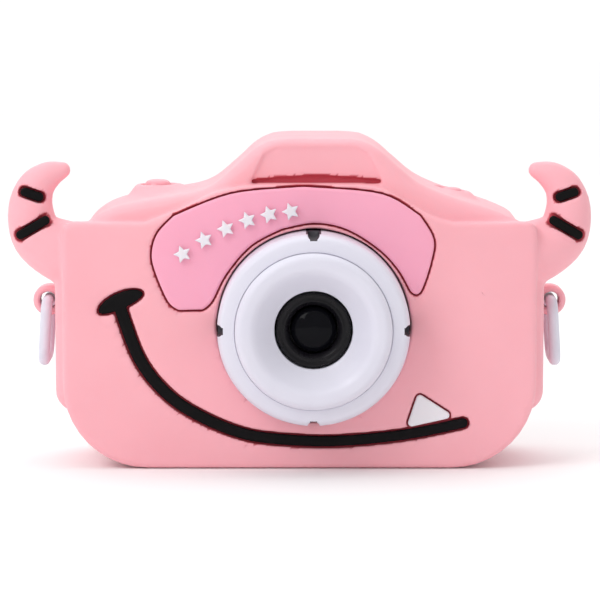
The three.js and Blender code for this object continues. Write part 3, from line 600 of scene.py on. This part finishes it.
PINK = silicone("silicone_pink", (0.95, 0.45, 0.505), (0.91, 0.42, 0.475))
# Painted shade: groove walls on the cover turn dark red, standing in for shade and the red glow of light
# inside the silicone.
paint_groove_shade(PINK, (0.5, 0.05, 0.075))
ROSE = silicone("silicone_rose", (0.95, 0.41, 0.55), (0.91, 0.385, 0.52))
BLACK = silicone("silicone_black", (0.005, 0.004, 0.005), (0.003, 0.003, 0.003), 0.5, 0, 0.1)
WHITE = silicone("silicone_white", (0.85, 0.82, 0.86), (0.78, 0.75, 0.8), 0.45)
SHELL = plastic("shell_pink", (0.88, 0.38, 0.44), (0.83, 0.35, 0.41), 0.32)
ABS = plastic("white_plastic", (0.73, 0.715, 0.8), (0.7, 0.685, 0.78), 0.36, 0.1, 0.35)
# Painted shade: keyway faces in the lens barrel turn near-black, where the notches fall into shadow.
paint_groove_shade(ABS, (0.03, 0.025, 0.035))
DARK = plastic("black_plastic", (0.005, 0.004, 0.006), (0.003, 0.003, 0.004), 0.3, 0.1, 0.2)
CARD = plastic("card_plastic", (0.02, 0.02, 0.025), (0.012, 0.012, 0.016), 0.35)
STEEL = metal("steel", (0.62, 0.63, 0.66), 0.28)
FOIL = metal("battery_foil", (0.6, 0.62, 0.66), 0.35)
BOARD = board_material()
LENS_GLASS = glass("clear_glass", (0.004, 0.004, 0.006), 0.2, 0.06)
SCREEN_GLASS = glass("screen_glass", (0.03, 0.03, 0.036), 0.5)
LCD = plastic("lcd", (0.012, 0.014, 0.022), (0.009, 0.01, 0.018), 0.18, 0.03)

MATERIALS = {
    "silicone_pink": PINK, "silicone_rose": ROSE, "silicone_black": BLACK, "silicone_white": WHITE,
    "shell_pink": SHELL, "white_plastic": ABS, "black_plastic": DARK, "clear_glass": LENS_GLASS,
    "screen_glass": SCREEN_GLASS, "lcd": LCD, "circuit_board": BOARD, "steel": STEEL,
    "battery_foil": FOIL, "card_plastic": CARD,
}


# ---------------------------------------------------------------- silicone cover

def ring_place(side):
    """Where a strap ring turns in its lug, as (x, z)."""
    name = "strap_ring_right_swing" if side > 0 else "strap_ring_left_swing"
    for joint in frame["record"]["behaviour"]["joints"]:
        if joint["name"] == name:
            return joint["pos_m"][0] / MM, joint["pos_m"][2] / MM
    raise ValueError(name)


def button_middle(node):
    low, high = box_mm(node)
    return (low[0] + high[0]) / 2, (low[1] + high[1]) / 2


def add_flanks(clay):
    flank = slab(rectangle(FLANK["inner"], FLANK["outer"], FLANK["bottom"], FLANK["top"], FLANK["corner"]),
                 FLANK["front"], FLANK["back"], 2.6)
    clay.add(mirrored(flank), 0.8)
    clay.add(flank, 0.8)


def add_button_mounds(clay):
    for node, sizes in BUTTONS.items():
        x, y = button_middle(node)
        rim = box_mm(node)[1][2] - sizes["proud"]
        clay.add(rod_z(x, y, sizes["mound"], rim - 8, rim, 1.4), sizes["blend"])


def add_lugs(clay):
    depth = LUG["half_depth"]
    for side in (-1, 1):
        x, z = ring_place(side)
        clay.add(rod_y(x, z, LUG["radius"], -depth, depth, 0.6), 0.3)
        low = (min(side * LUG["root"], x), -depth, z - LUG["half_neck"])
        high = (max(side * LUG["root"], x), depth, z + LUG["half_neck"])
        clay.add(block(low, high, 0.5), 0.8)
        clay.cut(rod_y(x, z, LUG["hole"], -4, 4, 0.1), 0.3)


def cover_grooves():
    """The recesses the inlays sit in, each with the depth below which its walls get painted shade."""
    front, floor = PLATE_FRONT - 2, PLATE_FRONT + RECESS
    skin = PLATE_FRONT + 0.3
    slot = slab(hump_slot_outline(), PLATE_FRONT - 1, BODY_FRONT + HUMP_SLOT_DEPTH, 0.1)
    grooves = [
        (slab(eyelid_outline(), front, floor, 0.1, GAP), skin),
        (band(SMILE, SMILE_START, SMILE_END, front, floor, 0.1, GAP), skin),
        (slab(dimple_outline(), front, floor, 0.1, GAP), skin),
        (slab(TOOTH, front, floor, 0.1, TOOTH_RADIUS + GAP), skin),
        (slot, BODY_FRONT + 0.8),
    ]
    for start, end, y in STRIPES.values():
        groove = band([start, end], STRIPE_RADIUS, STRIPE_RADIUS, y - 3, y + STRIPE_FLOOR, 0.1, GAP)
        grooves += [(groove, y + 0.1), (mirrored(groove), y + 0.1)]
    return grooves


def silicone_cover():
    clay = Clay(LOW, HIGH, COVER_VOXEL)
    clay.add(slab(body_outline(), BODY_FRONT, COVER_BACK, 2.2))
    add_flanks(clay)
    clay.add(slab(plate_outline(), PLATE_FRONT, PLATE_BACK, 0.9), 0.5)
    add_button_mounds(clay)
    horn = tapered(LEFT_HORN, HORN_Y)
    clay.add(horn, 1.0)
    clay.add(mirrored(horn), 1.0)
    add_lugs(clay)
    clay.cut(slab(core_outline(), PLATE_BACK, CAVITY_BACK, 0.3))
    clay.cut(slab(hump_panel_outline(), PLATE_FRONT - 2, BODY_FRONT + HUMP_PANEL_DEPTH, 0.2), 0.9)
    clay.cut(rod_y(LENS_X, LENS_Z, LENS_RADIUS + GAP, PLATE_FRONT - 3, PLATE_BACK + 2, 0.1), 0.3)
    grooves = cover_grooves()
    for groove, _ in grooves:
        clay.cut(groove, 0.25)
    window = rectangle(-WINDOW["half_width"], WINDOW["half_width"], WINDOW["bottom"], WINDOW["top"],
                       WINDOW["corner"])
    clay.cut(slab(window, CAVITY_BACK - 1, COVER_BACK + 2, 0.1), 0.6)
    clay.cut(rod_y(*BACK_LENS, BACK_LENS_HOLE, CAVITY_BACK - 1, COVER_BACK + 2, 0.1), 0.6)
    for node, sizes in BUTTONS.items():
        clay.cut(rod_z(*button_middle(node), sizes["hole"], 40, 56, 0.1), 0.5)
    clay.cut(block(PORT_LOW, PORT_HIGH, 1.8), 0.4)
    mesh = clay.mesh("cover_moulding", 0.01)
    # The groove walls marked here get painted shade.
    mark_groove_shade(mesh, grooves)
    return soften(place(mesh, "cover_moulding", PINK, BODY, ["silicone_cover"]), 0.5, 2)


def mark_groove_shade(mesh, grooves):
    """Marks the painted shade: stores 1 in the mask attribute on every vertex on a groove's surface, below
    the skin round it.
    """
    where = np.empty(len(mesh.vertices) * 3)
    mesh.vertices.foreach_get("co", where)
    x, y, z = where.reshape(-1, 3).T / MM
    painted_shade = np.zeros(len(x))
    for (low, high, distance), skin in grooves:
        near = y > skin
        for values, start, end in zip((x, y, z), low, high):
            near &= (values > start - 0.5) & (values < end + 0.5)
        gap = np.abs(distance(x[near], y[near], z[near]))
        painted_shade[near] = np.maximum(painted_shade[near], np.clip((0.3 - gap) / 0.15, 0, 1))
    attribute = mesh.attributes.new("painted_shade", "FLOAT", "POINT")
    attribute.data.foreach_set("value", painted_shade.astype(np.float32))


def rectangle(x0, x1, z0, z1, radius):
    """Round-cornered rectangle, as points."""
    return (arc(x1 - radius, z0 + radius, radius, -90, 0, 6)
            + arc(x1 - radius, z1 - radius, radius, 0, 90, 6)
            + arc(x0 + radius, z1 - radius, radius, 90, 180, 6)
            + arc(x0 + radius, z0 + radius, radius, 180, 270, 6))


# ---------------------------------------------------------------- inlays on the cover

def clay_piece(name, shapes, voxel, material, node, rounds=2, cuts=()):
    low, high = box_mm(node)
    clay = Clay(low, high, voxel)
    for shape in shapes:
        clay.add(shape)
    for shape in cuts:
        clay.cut(shape)
    piece = place(clay.mesh(name), name, material, body_of(node), [node])
    return soften(piece, 0.5, rounds)


def body_of(node):
    for body, nodes in frame["record"]["behaviour"]["bodies"].items():
        if node in nodes:
            return body
    raise ValueError(node)


def inlays():
    low, high = box_mm("eyelid_panel")
    clay_piece("eyelid_inset", [slab(eyelid_outline(), low[1], high[1], 0.35, 0)], 0.2, ROSE,
               "eyelid_panel")
    low, high = box_mm("smile_inlay")
    clay_piece("smile_line", [band(SMILE, SMILE_START, SMILE_END, low[1], high[1], 0.2),
                              slab(dimple_outline(), low[1], high[1], 0.2)], 0.2, BLACK,
               "smile_inlay")
    low, high = box_mm("tooth_inlay")
    clay_piece("tooth_inset", [slab(TOOTH, low[1], high[1], 0.3, TOOTH_RADIUS)], 0.12, WHITE,
               "tooth_inlay")
    for key, (start, end, _) in STRIPES.items():
        low, high = box_mm(f"horn_stripe_left_{key}")
        stripe = band([start, end], STRIPE_RADIUS, STRIPE_RADIUS, low[1], high[1], 0.3)
        clay_piece(f"stripe_left_{key}", [stripe], 0.12, BLACK, f"horn_stripe_left_{key}")
        clay_piece(f"stripe_right_{key}", [mirrored(stripe)], 0.12, BLACK, f"horn_stripe_right_{key}")
    for i in range(STARS["count"]):
        node = f"eyelid_star_{i + 1}"
        low, high = box_mm(node)
        clay_piece(f"star_{i + 1}", [slab(star_outline(i), low[1], high[1], 0.2)], 0.1, WHITE, node)


def star_outline(index):
    """One star of the row that climbs along the eyelid."""
    t = index / (STARS["count"] - 1)
    x = -21.6 + 20 * t
    z = 41.2 + 7.9 * t - 1.6 * (2 * t - 1) ** 2 + 0.6
    points = []
    for k in range(2 * STARS["points"]):
        angle = math.pi / 2 + STARS["turn"] + math.pi * k / STARS["points"]
        radius = STARS["inner"] if k % 2 else STARS["outer"]
        points.append((x + radius * math.cos(angle), z + radius * math.sin(angle)))
    return points


# ---------------------------------------------------------------- lens group

def lens_group():
    centre = (LENS_X, LENS_Z)
    f, r, bore = LENS_FRONT, LENS_RADIUS, 14.5
    shoulder = -11.3
    barrel = lathe("barrel", [
        (bore, f + 1.5, 0), (bore, f, 0.2), (r - 0.8, f + 0.5, 0.6), (r, f + 1.8, 1), (r, shoulder, 0.2),
        (bore - 0.1, shoulder, 0), (bore - 0.1, -8, 0), (bore - 2, -8, 0), (bore - 2, -13.5, 0),
        (bore, -13.5, 0), (bore, f + 1.5, 0)], centre, sides=160)
    piece = place(sharpen(barrel), "lens_barrel_outer", ABS, BODY, ["lens_barrel"])
    cut_notches(piece)
    outer = bore - 0.06
    crest, back = box_mm("lens_dish")[0][1], box_mm("lens_dish")[1][1]
    dish = lathe("dish", [
        (outer, back, 0), (outer, crest + 1, 0.6), (outer - 1, crest, 1), (11.6, crest + 0.05, 0.6),
        (10.7, crest + 0.6, 0.9), (7.8, crest + 3.6, 0.8), (7.2, crest + 4.1, 0.3), (7.2, back, 0),
        (outer, back, 0)], centre, sides=160)
    place(sharpen(dish), "lens_dish_cone", ABS, BODY, ["lens_dish"])
    front, back = box_mm("lens_hood")[0][1], box_mm("lens_hood")[1][1]
    hood = lathe("hood", [
        (6.95, back, 0), (6.95, front + 0.3, 0.3), (6.5, front, 0.3), (5.9, front + 0.3, 0.15),
        (5.4, front + 0.1, 0.15), (5, front + 0.5, 0.2), (4.5, front + 1.1, 0.2), (4.5, back, 0),
        (6.95, back, 0)], centre, sides=128)
    place(sharpen(hood), "lens_hood_ring", DARK, BODY, ["lens_hood"])
    front, back = box_mm("lens_glass")[0][1], box_mm("lens_glass")[1][1]
    dome = lathe("dome", [
        (0, back, 0), (4.2, back, 0.1), (4.2, front + 1.5, 0.2), (3.5, front + 0.8, 0.5),
        (2.3, front + 0.25, 0.8), (1, front + 0.02, 0.8), (0, front, 0)], centre, sides=96)
    place(dome, "lens_front_glass", LENS_GLASS, BODY, ["lens_glass"])


def cut_notches(piece):
    """Four half-round keyways cut a long way down the side of the barrel, with painted shade marked inside
    them.
    """
    radius = KEYWAY["radius"]
    for k in range(KEYWAY["count"]):
        angle = math.pi / 2 * k
        centre = (LENS_X + LENS_RADIUS * math.cos(angle), LENS_Z + LENS_RADIUS * math.sin(angle))
        front, back = LENS_FRONT - 1, LENS_FRONT + KEYWAY["length"]
        profile = [(0, front, 0), (radius, front, 0), (radius, back, 0), (0, back, 0)]
        tool_mesh = lathe(f"keyway_{k}", profile, centre, sides=24)
        tool = bpy.data.objects.new(f"keyway_{k}", tool_mesh)
        bpy.context.scene.collection.objects.link(tool)
        notch = piece.modifiers.new("keyway", "BOOLEAN")
        notch.operation = "DIFFERENCE"
        notch.object = tool
        apply_modifiers(piece)
        bpy.data.objects.remove(tool)
    mark_keyway_shade(piece.data)


def mark_keyway_shade(mesh):
    """Marks the painted shade: stores 1 in the mask attribute on every face inside a keyway."""
    reach = KEYWAY["radius"] + 0.02
    painted_shade = []
    for face in mesh.polygons:
        x, _, z = face.center / MM
        off_axis = math.hypot(abs(x - LENS_X), abs(z - LENS_Z))
        across = min(abs(x - LENS_X), abs(z - LENS_Z))
        inside = math.hypot(off_axis - LENS_RADIUS, across) < reach and across < reach
        painted_shade.append(1.0 if inside else 0.0)
    attribute = mesh.attributes.new("painted_shade", "FLOAT", "FACE")
    attribute.data.foreach_set("value", painted_shade)


def apply_modifiers(piece):
    bpy.context.view_layer.update()
    evaluated = piece.evaluated_get(bpy.context.evaluated_depsgraph_get())
    mesh = bpy.data.meshes.new_from_object(evaluated)
    piece.modifiers.clear()
    old = piece.data
    piece.data = mesh
    bpy.data.meshes.remove(old)


# ---------------------------------------------------------------- buttons, keys and strap rings

def buttons():
    for node, sizes in BUTTONS.items():
        low, high = box_mm(node)
        x, y = button_middle(node)
        flange = (high[0] - low[0]) / 2
        radius = flange - sizes["flange"]
        mesh = lathe(node + "_cap", [
            (0, low[2], 0), (flange, low[2], 0.2), (flange, low[2] + 1, 0.2), (radius, low[2] + 1, 0),
            (radius, high[2] - 1.1, 0.5), (radius * 0.8, high[2] - 0.25, 0.8), (radius * 0.4, high[2], 0.8),
            (0, high[2], 0)], (x, y), "Z", 96)
        place(sharpen(mesh), node + "_cap", SHELL, body_of(node), [node])
    for name in ("up", "down", "left", "right", "ok"):
        node = f"key_{name}"
        low, high = box_mm(node)
        x, z = (low[0] + high[0]) / 2, (low[2] + high[2]) / 2
        radius, flange = KEY_RADIUS, KEY_FLANGE
        mesh = lathe(node + "_cap", [
            (0, low[1], 0), (flange, low[1], 0.2), (flange, low[1] + 1, 0.2), (radius, low[1] + 1, 0),
            (radius, high[1], 0.6), (radius * 0.55, high[1], 0.4), (radius * 0.3, high[1] - 0.25, 0.3),
            (0, high[1] - 0.3, 0)], (x, z), "Y", 72)
        place(sharpen(mesh), node + "_cap", ABS, body_of(node), [node])


def strap_rings():
    """Each loop is drawn hanging straight down from its pivot and then leaned outward."""
    radius, half, drop = RING["wire"], RING["half_width"], RING["drop"]
    for side, name in ((-1, "left"), (1, "right")):
        node = f"strap_ring_{name}"
        x, z = ring_place(side)
        reach = half - radius
        path = rectangle(-reach, reach, z - drop + radius, z, RING["corner"])
        clay = Clay((x - radius, -half, z - drop), (x + radius, half, z + radius), 0.16)
        for start, end in zip(path, path[1:] + path[:1]):
            clay.add(wire(x, start, end, radius))
        mesh = clay.mesh(node + "_wire")
        pivot = Matrix.Translation(Vector((x, 0, z)) * MM)
        lean = Matrix.Rotation(-side * math.radians(RING["lean"]), 4, "Y")
        mesh.transform(pivot @ lean @ pivot.inverted())
        piece = place(mesh, node + "_wire", ABS, body_of(node), [node])
        soften(piece, 0.5, 2)


def wire(x0, start, end, radius):
    """A round bar between two (y, z) points at a constant x."""
    low = (x0 - radius, min(start[0], end[0]) - radius, min(start[1], end[1]) - radius)
    high = (x0 + radius, max(start[0], end[0]) + radius, max(start[1], end[1]) + radius)

    def distance(x, y, z):
        ey, ez = end[0] - start[0], end[1] - start[1]
        t = np.clip(((y - start[0]) * ey + (z - start[1]) * ez) / max(ey * ey + ez * ez, 1e-9), 0, 1)
        return np.sqrt((x - x0) ** 2 + (y - start[0] - t * ey) ** 2 + (z - start[1] - t * ez) ** 2) - radius

    return low, high, distance


# ---------------------------------------------------------------- carried-over CAD nodes

def finish_cad_nodes():
    """Gives every CAD node its material, and a fine edge to those that stay visible."""
    slots = {entry["node"]: entry["material_slot"] for entry in frame["record"]["subparts"]}
    for node, piece in frame["nodes"].items():
        material = MATERIALS[slots[node]]
        if not piece.material_slots:
            piece.data.materials.append(material)
        for holder in piece.material_slots:
            holder.material = material
        if piece.hide_render:
            continue
        edge = piece.modifiers.new("edge", "BEVEL")
        edge.width = 0.00012
        edge.segments = 2
        edge.limit_method = "ANGLE"
        edge.angle_limit = math.radians(40)
        edge.harden_normals = False


# ---------------------------------------------------------------- stage, light and camera

def floor():
    bm = bmesh.new()
    bmesh.ops.create_grid(bm, x_segments=8, y_segments=8, size=6)
    mesh = bpy.data.meshes.new("floor")
    bm.to_mesh(mesh)
    bm.free()
    sheet = bpy.data.objects.new("floor", mesh)
    bpy.context.scene.collection.objects.link(sheet)
    sheet.location.z = -0.0001
    paper = new_material("backdrop_paper", (0.93, 0.93, 0.93), 0.8)
    vary_roughness(paper, 0.75, 0.85, 30)
    mesh.materials.append(paper)


def area_light(name, location, target, size, watts, colour=(1, 1, 1)):
    data = bpy.data.lights.new(name, "AREA")
    data.shape = "RECTANGLE"
    data.size, data.size_y = size
    data.energy = watts
    data.color = colour
    lamp = bpy.data.objects.new(name, data)
    lamp.location = location
    lamp.rotation_euler = (Vector(target) - Vector(location)).to_track_quat("-Z", "Y").to_euler()
    bpy.context.scene.collection.objects.link(lamp)


def light():
    scene = bpy.context.scene
    scene.view_settings.view_transform = "Standard"
    world = bpy.data.worlds.new("studio")
    scene.world = world
    world.use_nodes = True
    background = world.node_tree.nodes["Background"]
    background.inputs["Color"].default_value = (1, 1, 1, 1)
    background.inputs["Strength"].default_value = 0.68
    middle = (0, 0, 0.03)
    area_light("key_softbox", (-0.5, -0.45, 0.6), middle, (0.5, 0.4), 2.6)
    area_light("top_softbox", (0.0, 0.1, 0.75), middle, (0.7, 0.5), 0.9)
    area_light("ceiling_softbox", (0, 1.2, 2.4), (0, 1.2, 0), (4, 4), 26)
    area_light("far_softbox", (0, 4.6, 2.4), (0, 4.6, 0), (5, 4), 60)


def camera():
    elevation = math.radians(6.5)
    distance = 0.6
    target = Vector((0.0001, PLATE_FRONT * MM, 0.0316))
    data = bpy.data.cameras.new("photo_camera")
    data.sensor_width = 36
    data.lens = 36 * distance / 0.1111
    data.clip_start = 0.01
    data.clip_end = 20
    eye = bpy.data.objects.new("photo_camera", data)
    eye.location = target + Vector((0, -math.cos(elevation), math.sin(elevation))) * distance
    eye.rotation_euler = (target - eye.location).to_track_quat("-Z", "Y").to_euler()
    bpy.context.scene.collection.objects.link(eye)
    bpy.context.scene.camera = eye


silicone_cover()
inlays()
lens_group()
buttons()
strap_rings()
finish_cad_nodes()
floor()
light()
camera()
